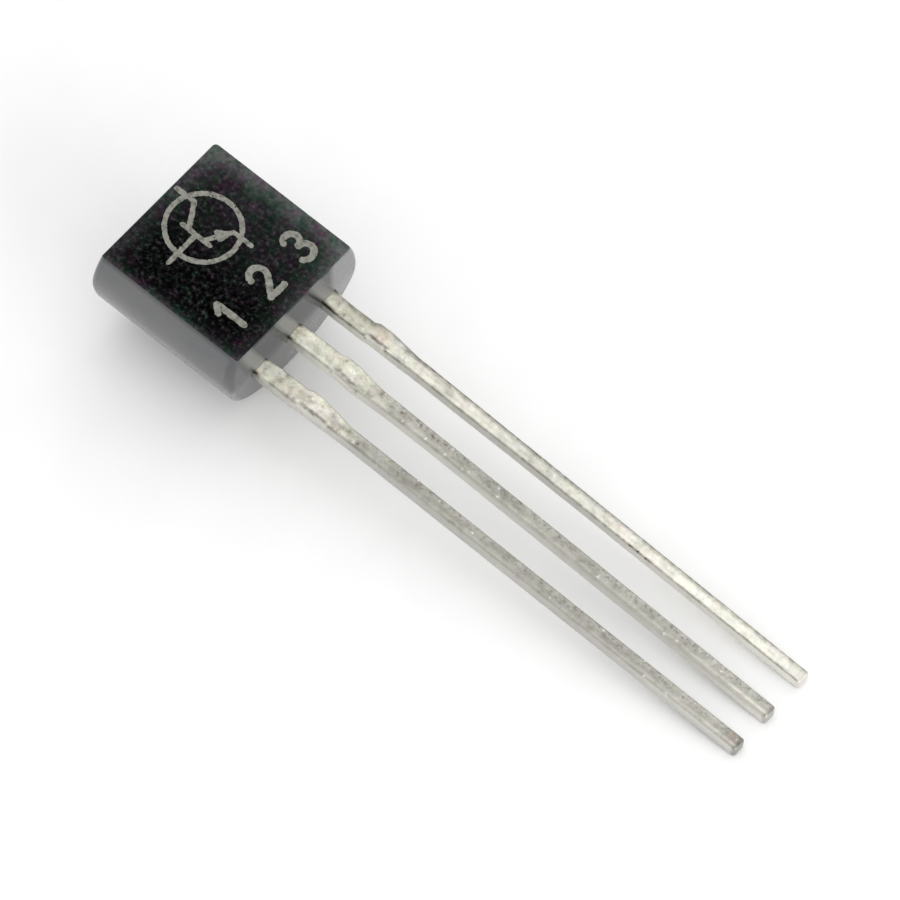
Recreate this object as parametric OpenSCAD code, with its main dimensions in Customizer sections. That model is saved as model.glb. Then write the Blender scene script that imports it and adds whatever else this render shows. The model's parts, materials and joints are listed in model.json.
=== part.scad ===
// TO-92 transistor: a drafted D-shaped moulded body on three stamped leads, with the leadframe
// flag, the die, its attach layer and two bond wires sealed inside.
// Package frame: X runs along the leads towards their tips, Y runs across the flat face,
// Z is the flat face's outward normal, and the axis of the round back is the line Y = Z = 0.
// lay_down() turns the finished package into its resting pose, on its back and its lead tips.

/* [Body] */
// Width across the round sides
body_w = 4.64; // [3.8:0.02:5.8]
// Depth from the flat face to the back
body_d = 3.32; // [3.1:0.02:4.0]
// Length along the lead axis at the parting line
body_l = 4.5; // [3.7:0.05:5.6]
// Draft of both ends away from the parting line, in degrees
draft = 5; // [2:0.5:8]
// Radius of the moulded edges round the flat face
edge_r = 0.05; // [0.04:0.01:0.16]
// Diameter of the ejector-pin mark in the back
ejector_d = 1.2; // [0.8:0.1:1.6]
// Depth of the ejector-pin mark at the lowest line of the back
ejector_depth = 0.11; // [0.08:0.01:0.2]
// Width of the gate scar in the end away from the leads
gate_w = 0.8; // [0.4:0.1:1.2]
// Thickness of the gate scar
gate_t = 0.2; // [0.1:0.05:0.3]
// Height that the broken gate stands off the end
gate_h = 0.04; // [0.02:0.01:0.1]

/* [Leads] */
// Spacing of the three leads
pitch = 1.27; // [1.1:0.01:1.6]
// Length of the leads outside the body, before bending
lead_l = 14.9; // [12:0.1:18]
// Width of the leads beyond the tie-bar stubs
lead_w = 0.4; // [0.3:0.01:0.5]
// Width of the leads between the body and the tie-bar stubs
root_w = 0.5; // [0.36:0.01:0.6]
// Thickness of the leadframe strip
lead_t = 0.36; // [0.25:0.01:0.46]
// Distance of the strip's front face behind the flat face of the body
lead_depth = 1.2; // [1.0:0.02:1.45]
// Distance from the body to the middle of the sheared tie-bar stubs
stub_at = 1.6; // [1.2:0.05:2.6]
// Length of a stub along the lead
stub_l = 0.4; // [0.3:0.05:1.1]
// Height of both stubs of a lead where the shearing punch runs midway between the leads
stub_h = 0.02; // [0:0.01:0.1]
// Sideways shift of the punch: it leaves more on the collector's side and nicks the other side
punch_shift = 0.04; // [-0.06:0.01:0.06]
// Length of the ramp from the wide root to a stub
stub_ramp = 0.12; // [0.05:0.01:0.4]
// Length of the taper from the stubs down to the narrow width
taper_l = 0.9; // [0.2:0.05:1.2]
// Straight run between that taper and the bend in the leads
bend_gap = 0.2; // [0:0.05:1]
// Radius of that bend
bend_r = 4; // [2:0.5:10]
// Angle of that bend, away from the flat face
droop = 2.6; // [0:0.1:5]
// Sideways splay of the emitter, base and collector leads, in degrees
splay = [0.5, -0.05, -0.1]; // [-1:0.05:1]
// Bevel that the cut-off die leaves on the edges of the tips
tip_bevel = 0.05; // [0.02:0.01:0.1]

/* [Leadframe inside the body] */
// Moulding compound left over the far edge of the flag
flag_cover = 0.62; // [0.4:0.02:0.9]
// Length of the flag along the lead axis
flag_l = 1.45; // [1.2:0.05:1.7]
// Reach of the flag past the middle of the body, on the emitter side
flag_reach = 1.2; // [0.9:0.05:1.5]
// Gap between the flag and the bonding posts
post_gap = 0.22; // [0.15:0.01:0.3]
// Width of a bonding post
post_w = 0.84; // [0.6:0.02:0.96]
// Length of a bonding post
post_l = 0.7; // [0.5:0.05:0.85]
// Corner chamfer of the flag and the posts
frame_chamfer = 0.12; // [0.05:0.01:0.2]

/* [Die and bonds] */
// Side of the square die
die_w = 0.5; // [0.4:0.02:0.7]
// Thickness of the die
die_t = 0.2; // [0.12:0.01:0.28]
// Margin of the attach layer round the die
attach_margin = 0.05; // [0.02:0.01:0.1]
// Thickness of the attach layer
attach_t = 0.03; // [0.015:0.005:0.05]
// Diameter of the bond wires
wire_d = 0.05; // [0.04:0.005:0.075]
// Diameter of a ball bond
ball_d = 0.12; // [0.1:0.01:0.14]
// Height of a ball bond
ball_h = 0.03; // [0.02:0.005:0.05]
// Distance of the ball bonds from the middle of the die
pad_offset = 0.11; // [0.08:0.01:0.12]
// Straight rise of a wire above its ball
wire_rise = 0.1; // [0.05:0.01:0.15]
// Radius of a wire's loop at its centre line
loop_r = 0.12; // [0.08:0.01:0.16]
// Thickness of the stitch that ends a wire
stitch_t = 0.02; // [0.01:0.005:0.03]
// Distance of a stitch from the flag end of its post
stitch_at = 0.28; // [0.2:0.02:0.4]

/* [Hidden] */
$fn = 64;
past = 1;                                    // how far a cutter runs past what it cuts

back_r = body_w / 2;
flat_z = body_d - back_r;
parting_z = flat_z - lead_depth;             // the mould halves part at the strip's front face
lead_end = body_l / 2;
front_run = lead_depth * tan(draft);         // how far the draft pulls the flat's ends in
back_run = (parting_z + back_r) * tan(draft);
tip_x = lead_end + lead_l;
stub_x = lead_end + stub_at;
taper_x = stub_x + stub_l / 2 + taper_l;
bend_x = taper_x + bend_gap;
toe_run = tip_x - bend_x - bend_r * sin(droop);     // straight run from the bend to the tip

// An arc of points about [cx, cy] from angle a0 to angle a1, in n steps
function arc(cx, cy, r, a0, a1, n) =
    [for (i = [0 : n]) let (a = a0 + (a1 - a0) * i / n) [cx + r * cos(a), cy + r * sin(a)]];

// The same points on the other side of the middle plane, in reverse order
function mirrored(points) = [for (i = [len(points) - 1 : -1 : 0]) [-points[i][0], points[i][1]]];

// --- Moulded body ---------------------------------------------------------------------------

// Centre of the fillet between the flat and the round side, and the angle where it meets the round
fillet_y = sqrt(pow(back_r - edge_r, 2) - pow(flat_z - edge_r, 2));
fillet_a = atan2(flat_z - edge_r, fillet_y);
fillet_steps = 6;

// Section across the axis: a true circle, cut by the flat and its two rounded edges
module d_section() {
    step = (90 - fillet_a) / fillet_steps;
    right = arc(fillet_y, flat_z - edge_r, edge_r, fillet_a + step, 90, fillet_steps - 1);
    left = mirrored(right);
    // below the fillets the cutter leaves the circle along the fillet's next chord
    run = fillet_a + step / 2;
    out_y = right[0][0] + past * sin(run);
    out_z = right[0][1] - past * cos(run);
    intersection() {
        circle(r = back_r);
        polygon(concat(right, left, [[-out_y, out_z], [-out_y, -back_r - past],
                                     [out_y, -back_r - past], [out_y, out_z]]));
    }
}

// Outline seen from the side: both ends drafted away from the parting line, and rounded at the flat
module side_outline() {
    turn = 90 - draft;
    reach = edge_r * tan(turn / 2);
    cx = lead_end - front_run - reach;
    front = arc(cx, flat_z - edge_r, edge_r, draft, 90, 5);
    half = concat([[lead_end - back_run, -back_r], [lead_end, parting_z]], front);
    polygon(concat(half, mirrored(half)));
}

module gate_scar() {
    translate([-lead_end - gate_h, -gate_w / 2, parting_z - gate_t])
        cube([gate_h + past, gate_w, gate_t]);
}

module ejector_mark() {
    translate([0, 0, -back_r - past])
        cylinder(d = ejector_d, h = ejector_depth + past);
}

module moulding() {
    intersection() {
        rotate([90, 0, 90]) translate([0, 0, -body_l]) linear_extrude(2 * body_l) d_section();
        rotate([90, 0, 0]) translate([0, 0, -body_w]) linear_extrude(2 * body_w) side_outline();
    }
    gate_scar();
}

// --- Leadframe ------------------------------------------------------------------------------

flag_x0 = -lead_end + flag_cover;
flag_x1 = flag_x0 + flag_l;
flag_mid = (flag_x0 + flag_x1) / 2;
flag_y1 = pitch + root_w / 2;                // flush with the outer edge of the collector lead
post_x0 = flag_x1 + post_gap;

// Half widths of a lead outside the body, on its upper (1) or lower (-1) side: root, tie-bar stub,
// narrow run and bevelled tip
function half_widths(side) = let (stub = root_w / 2 + stub_h + side * punch_shift) [
    [stub_x - stub_l / 2 - stub_ramp, root_w / 2],
    [stub_x - stub_l / 2, stub],
    [stub_x + stub_l / 2, stub],
    [taper_x, lead_w / 2],
    [bend_x, lead_w / 2],
    [tip_x - tip_bevel, lead_w / 2],
    [tip_x, lead_w / 2 - tip_bevel]];

// Sideways place of a splayed lead: straight to the bend, then off at its angle
function drift(x, angle) = max(0, x - bend_x) * tan(angle);
function lead_edge(y, angle, side) =
    [for (s = half_widths(side)) [s[0], y + drift(s[0], angle) + side * s[1]]];
function flip(points) = [for (i = [len(points) - 1 : -1 : 0]) points[i]];

// Outline of a bonding post, from the upper side of its neck round to the lower side
function post_head(y) = let (x0 = post_x0, x1 = post_x0 + post_l, w = post_w / 2, c = frame_chamfer) [
    [x1, y + root_w / 2], [x1, y + w - c], [x1 - c, y + w],
    [x0 + c, y + w], [x0, y + w - c], [x0, y - w + c], [x0 + c, y - w],
    [x1 - c, y - w], [x1, y - w + c], [x1, y - root_w / 2]];

// Outline of the flag, in the same order
flag_head = let (x0 = flag_x0, x1 = flag_x1, c = frame_chamfer) [
    [x0 + c, flag_y1], [x0, flag_y1 - c], [x0, -flag_reach + c], [x0 + c, -flag_reach],
    [x1 - c, -flag_reach], [x1, -flag_reach + c], [x1, pitch - root_w / 2]];

// The strip seen from the side: flat inside the body, then bent down towards the tips
module strip_side() {
    in_r = bend_r - lead_t;                  // the bend's centre lies on the strip's back side
    front = arc(bend_x, parting_z - bend_r, bend_r, 90, 90 - droop, 3);
    back = arc(bend_x, parting_z - bend_r, in_r, 90 - droop, 90, 3);
    ahead = [toe_run, -toe_run * tan(droop)];
    polygon(concat([[-body_l, parting_z]], front, [front[3] + ahead, back[0] + ahead],
                   back, [[-body_l, parting_z - lead_t]]));
}

// A stamped lead: its plan outline, cut out of the strip
module lead(head, y, angle) {
    intersection() {
        translate([0, 0, -tip_x]) linear_extrude(2 * tip_x)
            polygon(concat(head, lead_edge(y, angle, -1), flip(lead_edge(y, angle, 1))));
        rotate([90, 0, 0]) translate([0, 0, -body_w]) linear_extrude(2 * body_w) strip_side();
    }
}

module emitter() { lead(post_head(-pitch), -pitch, splay[0]); }
module base() { lead(post_head(0), 0, splay[1]); }
module collector() { lead(flag_head, pitch, splay[2]); }

// --- Die, attach layer and bond wires ---------------------------------------------------------

die_z = parting_z + attach_t;
die_top = die_z + die_t;
wire_sides = 10;
loop_steps = 8;                              // chords round the wire's loop

module attach() {
    side = die_w + 2 * attach_margin;
    translate([flag_mid - side / 2, -side / 2, parting_z]) cube([side, side, attach_t]);
}

module die() {
    translate([flag_mid - die_w / 2, -die_w / 2, die_z]) cube([die_w, die_w, die_t]);
}

// Path of a wire's centre line, as [distance, height]: up from the ball, over the loop, down to
// the post and two wire diameters past its surface
function wire_path(span) =
    let (top_z = die_top + ball_h + wire_rise,
         drop = top_z - parting_z,
         chord = norm([span - loop_r, drop]),
         fall = atan2(drop, span - loop_r) + asin(loop_r / chord),
         tail = 2 * wire_d)
    concat([[0, die_top + ball_h / 2]],
           arc(loop_r, top_z, loop_r, 180, 90 - fall, loop_steps),
           [[span + tail * cos(fall), parting_z - tail * sin(fall)]]);

// A round wire swept along a path in the X-Z plane
module swept_wire(path) {
    last = len(path) - 1;
    rings = [for (i = [0 : last])
        let (along = path[min(i + 1, last)] - path[max(i - 1, 0)], t = along / norm(along))
        for (k = [0 : wire_sides - 1])
            let (a = 360 * k / wire_sides, out = wire_d / 2 * cos(a))
            [path[i][0] - out * t[1], wire_d / 2 * sin(a), path[i][1] + out * t[0]]];
    skin = [for (i = [0 : last - 1], k = [0 : wire_sides - 1])
        let (a = i * wire_sides + k, b = i * wire_sides + (k + 1) % wire_sides)
        each [[a, b, b + wire_sides], [a, b + wire_sides, a + wire_sides]]];
    start = [for (k = [wire_sides - 1 : -1 : 0]) k];
    end = [for (k = [0 : wire_sides - 1]) last * wire_sides + k];
    polyhedron(rings, concat(skin, [start, end]));
}

// A wire from a ball bond at [x, y] on the die to a stitch at [sx, sy] on a post
module bond_wire(x, y, sx, sy) {
    span = norm([sx - x, sy - y]);
    translate([x, y, 0]) rotate([0, 0, atan2(sy - y, sx - x)]) {
        translate([0, 0, die_top]) cylinder(d = ball_d, h = ball_h);
        intersection() {
            swept_wire(wire_path(span));
            translate([-span, -span, parting_z]) cube([3 * span, 2 * span, body_d]);
        }
        translate([span, 0, parting_z]) cylinder(d = ball_d, h = stitch_t);
    }
}

module base_wire() {
    bond_wire(flag_mid + pad_offset, pad_offset, post_x0 + stitch_at, 0);
}

module emitter_wire() {
    bond_wire(flag_mid + pad_offset, -pad_offset, post_x0 + stitch_at, -pitch);
}

// --- Resting pose ---------------------------------------------------------------------------

// The two places that touch the surface: the lead end of the back, and the tips' back edge
heel = [lead_end - back_run, -back_r];
toe = [bend_x + (bend_r - lead_t) * sin(droop) + toe_run,
       parting_z - bend_r + (bend_r - lead_t) * cos(droop) - toe_run * tan(droop)];
rest_tilt = atan2(toe[1] - heel[1], toe[0] - heel[0]);
rest_lift = heel[0] * sin(rest_tilt) - heel[1] * cos(rest_tilt);
// Ends of the resting package along X, so that the origin is under the middle of its box
far_x = -(lead_end + gate_h) * cos(rest_tilt) + (parting_z - gate_t) * sin(rest_tilt);
near_x = (toe[0] + lead_t * sin(droop)) * cos(rest_tilt)
    + (toe[1] + lead_t * cos(droop)) * sin(rest_tilt);

module lay_down() {
    translate([-(far_x + near_x) / 2, 0, rest_lift]) rotate([0, rest_tilt, 0]) children();
}

// --- Nodes ----------------------------------------------------------------------------------

module epoxy_body() {
    color([0.13, 0.12, 0.13]) lay_down() difference() {
        moulding();
        ejector_mark();
        emitter();
        base();
        collector();
        attach();
        die();
        base_wire();
        emitter_wire();
    }
}

module emitter_lead() { color([0.80, 0.79, 0.73]) lay_down() emitter(); }
module base_lead() { color([0.80, 0.79, 0.73]) lay_down() base(); }
module collector_lead() { color([0.80, 0.79, 0.73]) lay_down() collector(); }
module silicon_die() { color([0.36, 0.38, 0.46]) lay_down() die(); }
module die_attach() { color([0.72, 0.66, 0.45]) lay_down() attach(); }
module base_bond_wire() { color([0.85, 0.62, 0.25]) lay_down() base_wire(); }
module emitter_bond_wire() { color([0.85, 0.62, 0.25]) lay_down() emitter_wire(); }

epoxy_body();
emitter_lead();
base_lead();
collector_lead();
silicon_die();
die_attach();
base_bond_wire();
emitter_bond_wire();
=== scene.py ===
import json
import math

import bmesh
import bpy
import numpy as np
from mathutils import Matrix, Vector, noise


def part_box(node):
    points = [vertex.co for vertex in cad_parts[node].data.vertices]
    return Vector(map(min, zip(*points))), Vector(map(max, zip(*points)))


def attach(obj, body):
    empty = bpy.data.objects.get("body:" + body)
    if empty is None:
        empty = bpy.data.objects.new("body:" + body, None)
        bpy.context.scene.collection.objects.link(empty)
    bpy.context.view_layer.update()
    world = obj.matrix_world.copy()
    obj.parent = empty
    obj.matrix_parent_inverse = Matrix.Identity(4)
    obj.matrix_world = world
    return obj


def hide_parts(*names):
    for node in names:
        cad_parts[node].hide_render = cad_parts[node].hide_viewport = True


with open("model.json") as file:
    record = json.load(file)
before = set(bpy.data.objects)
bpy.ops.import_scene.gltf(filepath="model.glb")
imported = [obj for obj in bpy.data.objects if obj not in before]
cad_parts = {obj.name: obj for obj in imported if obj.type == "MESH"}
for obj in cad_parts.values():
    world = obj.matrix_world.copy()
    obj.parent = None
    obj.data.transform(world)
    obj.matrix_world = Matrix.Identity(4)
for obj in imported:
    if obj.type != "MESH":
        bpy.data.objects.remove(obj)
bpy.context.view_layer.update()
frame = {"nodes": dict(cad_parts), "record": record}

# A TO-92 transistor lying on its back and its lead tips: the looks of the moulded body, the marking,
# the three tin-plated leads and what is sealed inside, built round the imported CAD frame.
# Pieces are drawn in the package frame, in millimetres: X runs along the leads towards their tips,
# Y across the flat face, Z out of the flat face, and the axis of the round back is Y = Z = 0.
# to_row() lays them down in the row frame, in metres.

MM = 0.001

# Body
FLAT_Z = 1.0                # height of the flat face over the axis of the round back
EDGE_R = 0.05               # rounded edges of the flat face
NEAR_R = 0.1                # rounded edges round the leads' end
FAR_R = 0.15                # rounded edges round the far end
DRAFT = math.radians(5)     # draft of both ends away from the parting line
DRAFT_BLEND = 0.2           # rounding between the drafts above and below the parting line
SEAM_W = 0.04               # width of the parting line's groove
BODY_L = 4.5                # at the parting line
EJECTOR_D = 1.2             # mark of the ejector pin in the back
EJECTOR_DEPTH = 0.11
GATE_W = 0.8                # stub of the broken gate on the far end
GATE_T = 0.2
GATE_H = 0.04

# Marking
INK_CELL = 0.014            # cell of the grid that the ink's outline is traced on
INK_DEPTH = 0.012           # how deep the ink's underside lies, so that no gap shows

# Leads
PITCH = 1.27
LEAD_L = 14.9               # from the body to the tip
LEAD_W = 0.4
ROOT_W = 0.5                # from the body to the stubs
LEAD_T = 0.36
LEAD_DEPTH = 1.2            # the strip's front face behind the flat
STUB_AT = 1.6               # middle of the sheared tie-bar stubs, from the body
STUB_L = 0.4
STUB_H = 0.02               # how far a stub stands out, without the punch's shift
PUNCH_SHIFT = 0.04          # how far the punch missed the middle, towards +Y
STUB_RAMP = 0.12            # length of the slope up to the stubs
TAPER_L = 0.9               # from the stubs down to LEAD_W
BEND_GAP = 0.2              # straight part between the taper and the bend
BEND_R = 4.0
DROOP = math.radians(2.6)   # slope of the leads past the bend
TIP_R = 0.09                # rounding of the tips
BACK_EDGE_R = 0.03          # rounding of the edges away from the flat
LEAST_R = 0.008             # smallest rounding of any edge
ROLL_W = 0.1                # strip beside the stub where the punch rolled the front's edge down
ROLL_DEPTH = 0.09
OVERLAP = 0.3               # how far the drawn part of a lead reaches into the body
RING_STEP = 0.04            # distance between the rings of a lead

body_low, body_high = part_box("epoxy_body")
BACK_R = (body_high.y - body_low.y) / 2 / MM
PARTING_Z = FLAT_Z - LEAD_DEPTH
LEAD_END = BODY_L / 2
TIP_X = LEAD_END + LEAD_L
STUB_X = LEAD_END + STUB_AT
TAPER_X = STUB_X + STUB_L / 2 + TAPER_L
BEND_X = TAPER_X + BEND_GAP
LEAD_START = LEAD_END - OVERLAP


def package_frame():
    """The matrix from the package frame, in millimetres, to the row frame, in metres."""
    mounts = {m["name"]: m for m in frame["record"]["mounts"]}
    outward = Vector(mounts["marking_face"]["axis"]).normalized()
    along = Vector(mounts["lead_row"]["axis"]).normalized()
    across = outward.cross(along)
    origin = Vector(mounts["marking_face"]["pos_m"]) - outward * FLAT_Z * MM
    turn = Matrix((along, across, outward)).transposed().to_4x4()
    return Matrix.Translation(origin) @ turn @ Matrix.Scale(MM, 4)


PACKAGE = package_frame()
TO_PACKAGE = PACKAGE.inverted()


# ----- Camera, lights and floor -----

def make_camera():
    """A distant camera at the photo's viewing angle, as wide as the photo's view of the part."""
    azimuth = math.radians(39.41)
    elevation = math.radians(59.17)
    roll = math.radians(0.62)
    view_width = 21.54 * MM
    distance = 0.3
    target = Vector((-0.563, 0.347, 1.0)) * MM
    back = Vector((math.sin(azimuth) * math.cos(elevation),
                   -math.cos(azimuth) * math.cos(elevation),
                   math.sin(elevation)))
    data = bpy.data.cameras.new("camera")
    data.sensor_width = 36
    data.lens = data.sensor_width * distance / view_width
    data.clip_start = 0.01
    data.clip_end = 3
    camera = bpy.data.objects.new("camera", data)
    turn = (-back).to_track_quat("-Z", "Y").to_matrix().to_4x4()
    camera.matrix_world = (Matrix.Translation(target + back * distance) @ turn
                           @ Matrix.Rotation(roll, 4, "Z"))
    bpy.context.scene.collection.objects.link(camera)
    bpy.context.scene.camera = camera


def make_light(name, place, size, watts):
    """A square soft light at place, in millimetres, facing the middle of the part."""
    data = bpy.data.lights.new(name, "AREA")
    data.shape = "SQUARE"
    data.size = size * MM
    data.energy = watts
    light = bpy.data.objects.new(name, data)
    light.location = Vector(place) * MM
    light.rotation_mode = "QUATERNION"
    light.rotation_quaternion = (-light.location).to_track_quat("-Z", "Y")
    light.visible_camera = False
    bpy.context.scene.collection.objects.link(light)


def make_world():
    """Even white light from all round."""
    world = bpy.data.worlds.new("studio")
    world.use_nodes = True
    background = world.node_tree.nodes["Background"]
    background.inputs["Color"].default_value = (1, 1, 1, 1)
    background.inputs["Strength"].default_value = 0.92
    bpy.context.scene.world = world


def make_floor():
    """A plain pale paper floor, 1.2 m wide."""
    bm = bmesh.new()
    bmesh.ops.create_grid(bm, x_segments=8, y_segments=8, size=0.6)
    mesh = bpy.data.meshes.new("floor")
    bm.to_mesh(mesh)
    bm.free()
    floor = bpy.data.objects.new("floor", mesh)
    bpy.context.scene.collection.objects.link(floor)
    tree, shader = new_material("floor_paper", mesh)
    grain = noise_level(tree, scale=0.6, detail=4)
    ramp(tree, grain, [(0.3, (0.93, 0.93, 0.93)), (0.7, (0.95, 0.95, 0.95))],
         shader.inputs["Base Color"])
    shader.inputs["Roughness"].default_value = 0.9
    shader.inputs["Specular IOR Level"].default_value = 0.1


# ----- Shader helpers -----

def new_material(name, mesh=None):
    """A new node material, and its Principled shader."""
    material = bpy.data.materials.new(name)
    material.use_nodes = True
    if mesh is not None:
        mesh.materials.append(material)
    return material.node_tree, material.node_tree.nodes["Principled BSDF"]


def texture(tree, kind, scale, stretch=(1, 1, 1)):
    """A texture node on the row frame's millimetres; scale is in cycles per millimetre."""
    coords = tree.nodes.new("ShaderNodeTexCoord")
    mapping = tree.nodes.new("ShaderNodeMapping")
    mapping.inputs["Scale"].default_value = [s / MM for s in stretch]
    tree.links.new(coords.outputs["Object"], mapping.inputs["Vector"])
    node = tree.nodes.new(kind)
    node.inputs["Scale"].default_value = scale
    tree.links.new(mapping.outputs["Vector"], node.inputs["Vector"])
    return node


def noise_level(tree, scale, detail, roughness=0.5, stretch=(1, 1, 1)):
    """Soft noise from 0 to 1; roughness is how strong its finer octaves are."""
    node = texture(tree, "ShaderNodeTexNoise", scale, stretch)
    node.inputs["Detail"].default_value = detail
    node.inputs["Roughness"].default_value = roughness
    return node.outputs["Fac"]


def cell_distance(tree, scale):
    """Distance to the middle of the nearest of a scatter of cells."""
    return texture(tree, "ShaderNodeTexVoronoi", scale).outputs["Distance"]


def ramp(tree, source, stops, target=None):
    """A colour ramp on source, with (position, colour or grey level) stops."""
    node = tree.nodes.new("ShaderNodeValToRGB")
    elements = node.color_ramp.elements
    while len(elements) < len(stops):
        elements.new(0.5)
    for element, (position, colour) in zip(elements, stops):
        element.position = position
        element.color = (*colour, 1) if isinstance(colour, tuple) else (colour, colour, colour, 1)
    tree.links.new(source, node.inputs["Fac"])
    if target is not None:
        tree.links.new(node.outputs["Color"], target)
    return node.outputs["Color"]


def mix(tree, factor, a, b, blend="MIX", target=None):
    """A colour mix; factor, a and b are sockets or plain values."""
    node = tree.nodes.new("ShaderNodeMix")
    node.data_type = "RGBA"
    node.blend_type = blend
    sockets = (node.inputs[0], node.inputs[6], node.inputs[7])
    for socket, value in zip(sockets, (factor, a, b)):
        if isinstance(value, bpy.types.NodeSocket):
            tree.links.new(value, socket)
        elif isinstance(value, tuple):
            socket.default_value = (*value, 1)
        else:
            socket.default_value = value
    if target is not None:
        tree.links.new(node.outputs[2], target)
    return node.outputs[2]


def attribute(tree, name):
    """The values that paint() stored under a name."""
    node = tree.nodes.new("ShaderNodeAttribute")
    node.attribute_name = name
    return node.outputs["Fac"]


def times(tree, a, b, target=None):
    """The product of two colours."""
    return mix(tree, 1.0, a, b, "MULTIPLY", target)


def bump(tree, shader, layers):
    """Bump in series, from (height socket, depth in micrometres, strength) layers."""
    previous = None
    for height, depth, strength in layers:
        node = tree.nodes.new("ShaderNodeBump")
        node.inputs["Strength"].default_value = strength
        node.inputs["Distance"].default_value = depth * 1e-6
        tree.links.new(height, node.inputs["Height"])
        if previous is not None:
            tree.links.new(previous, node.inputs["Normal"])
        previous = node.outputs["Normal"]
    tree.links.new(previous, shader.inputs["Normal"])


# ----- Materials -----

def flat_compound(mesh):
    """Black moulding compound on the flat face: matte, with a grain of coloured filler, and a painted
    sheen, a painted highlight that is smooth and grey where its painted attribute is high."""
    tree, shader = new_material("moulding_compound_flat", mesh)
    grain = noise_level(tree, scale=9, detail=3, roughness=0.65)
    tint = noise_level(tree, scale=2.2, detail=6, roughness=0.85)
    # painted highlight: the sheen that lightens the flat towards its edges
    rubbed = attribute(tree, "rubbed")
    dark = ramp(tree, grain,
                [(0.42, (0.0002, 0.0002, 0.0002)), (0.52, (0.003, 0.0031, 0.003)),
                 (0.62, (0.015, 0.0154, 0.0152)), (0.75, (0.055, 0.056, 0.055))])
    sheen_grey = ramp(tree, grain, [(0.36, (0.066, 0.067, 0.068)), (0.64, (0.12, 0.118, 0.118))])
    tone = mix(tree, rubbed, dark, sheen_grey)
    colour = ramp(tree, tint,
                  [(0.38, (0.4, 1.12, 0.9)), (0.46, (0.8, 1.06, 0.78)), (0.53, (1.0, 0.9, 1.12)),
                   (0.62, (1.25, 0.5, 0.95))])
    strength = ramp(tree, rubbed, [(0.1, 1.0), (0.6, 0.65)])
    mix(tree, strength, tone, colour, "MULTIPLY", shader.inputs["Base Color"])
    shader.inputs["Roughness"].default_value = 0.65
    shader.inputs["Specular IOR Level"].default_value = 0.015
    bump(tree, shader, [(grain, 8, 0.6)])


def side_compound(mesh):
    """The same compound on the sides and ends, where the mould is polished: smoother, and greyer
    where its painted attribute is high, which holds the compound's own grey and painted light and
    shade."""
    tree, shader = new_material("moulding_compound_side", mesh)
    cloud = noise_level(tree, scale=1.1, detail=3)
    grain = noise_level(tree, scale=9, detail=2)
    # one attribute for the compound's own grey and for painted light and shade
    grey_and_light_share = attribute(tree, "dusty")
    # the clean black compound, and the grey that also carries the painted light
    clean = ramp(tree, cloud, [(0.3, (0.022, 0.025, 0.028)), (0.7, (0.034, 0.034, 0.034))])
    dusty = ramp(tree, cloud, [(0.3, (0.186, 0.19, 0.194)), (0.7, (0.21, 0.208, 0.207))])
    tone = mix(tree, grey_and_light_share, clean, dusty)
    speck = ramp(tree, grain, [(0.3, 0.46), (0.6, 0.51)])
    mix(tree, 0.5, tone, speck, "OVERLAY", shader.inputs["Base Color"])
    polish = ramp(tree, grey_and_light_share, [(0.1, 0.13), (0.45, 0.23), (1, 0.26)])
    uneven = ramp(tree, grain, [(0.3, 0.9), (0.7, 1.1)])
    times(tree, polish, uneven, shader.inputs["Roughness"])
    shader.inputs["Specular IOR Level"].default_value = 0.5
    bump(tree, shader, [(cloud, 12, 0.3), (grain, 0.5, 0.3)])


def tin_plating(tree, cloud, mottle):
    """The plating's colour: warm and patchy, and plainer where the polished attribute is high."""
    polished = attribute(tree, "polished")
    warm = ramp(tree, cloud,
                [(0.34, (1.0, 0.94, 0.87)), (0.44, (1.0, 0.963, 0.84)), (0.54, (0.985, 0.988, 0.82)),
                 (0.64, (0.975, 0.972, 0.9))])
    plain = ramp(tree, cloud, [(0.38, (1.0, 0.968, 0.93)), (0.6, (0.985, 0.98, 0.92))])
    hue = mix(tree, polished, warm, plain)
    patches = ramp(tree, mottle,
                   [(0.32, (0.42, 0.41, 0.37)), (0.43, (0.74, 0.74, 0.7)), (0.52, (0.93, 0.93, 0.9)),
                    (0.66, (1.06, 1.06, 1.02))])
    even = mix(tree, polished, patches, (0.9, 0.9, 0.88))
    return mix(tree, 0.85, hue, even, "MULTIPLY")


def tin_grain(tree, colour):
    """Adds drawing streaks and dark specks where their attributes are high, and the painted light and
    shade of each lead's brightness.
    """
    streaks = noise_level(tree, scale=7, detail=3, stretch=(0.15, 1, 1))
    specks = noise_level(tree, scale=13, detail=3)
    drawn = ramp(tree, streaks, [(0.36, 0.7), (0.54, 1.0)])
    streaked = mix(tree, attribute(tree, "streaky"), colour, times(tree, colour, drawn))
    dark = ramp(tree, specks, [(0.34, 0.55), (0.5, 1.0)])
    specked = mix(tree, attribute(tree, "specked"), streaked, times(tree, streaked, dark))
    return times(tree, specked, attribute(tree, "tone"))


def tin_spots(tree, colour):
    """Adds a few scattered painted glints, painted glints at listed places, bare copper, and dark
    marks that are painted shade with the real pits.
    """
    # painted glints, scattered at random
    painted_glints = noise_level(tree, scale=9, detail=1)
    bright = ramp(tree, painted_glints, [(0.72, 0.0), (0.8, 0.5)])
    painted_glinting = mix(tree, bright, colour, (1.0, 0.98, 0.9))
    # painted glints at listed places
    glint_spotted = mix(tree, attribute(tree, "shine"), painted_glinting, (1.0, 0.98, 0.93))
    bare = mix(tree, attribute(tree, "copper"), glint_spotted, (1.0, 0.84, 0.84), "MULTIPLY")
    # dark marks: painted shade along the edges and at the root, and the real pits
    return mix(tree, attribute(tree, "grime"), bare, (0.045, 0.038, 0.025))


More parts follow.
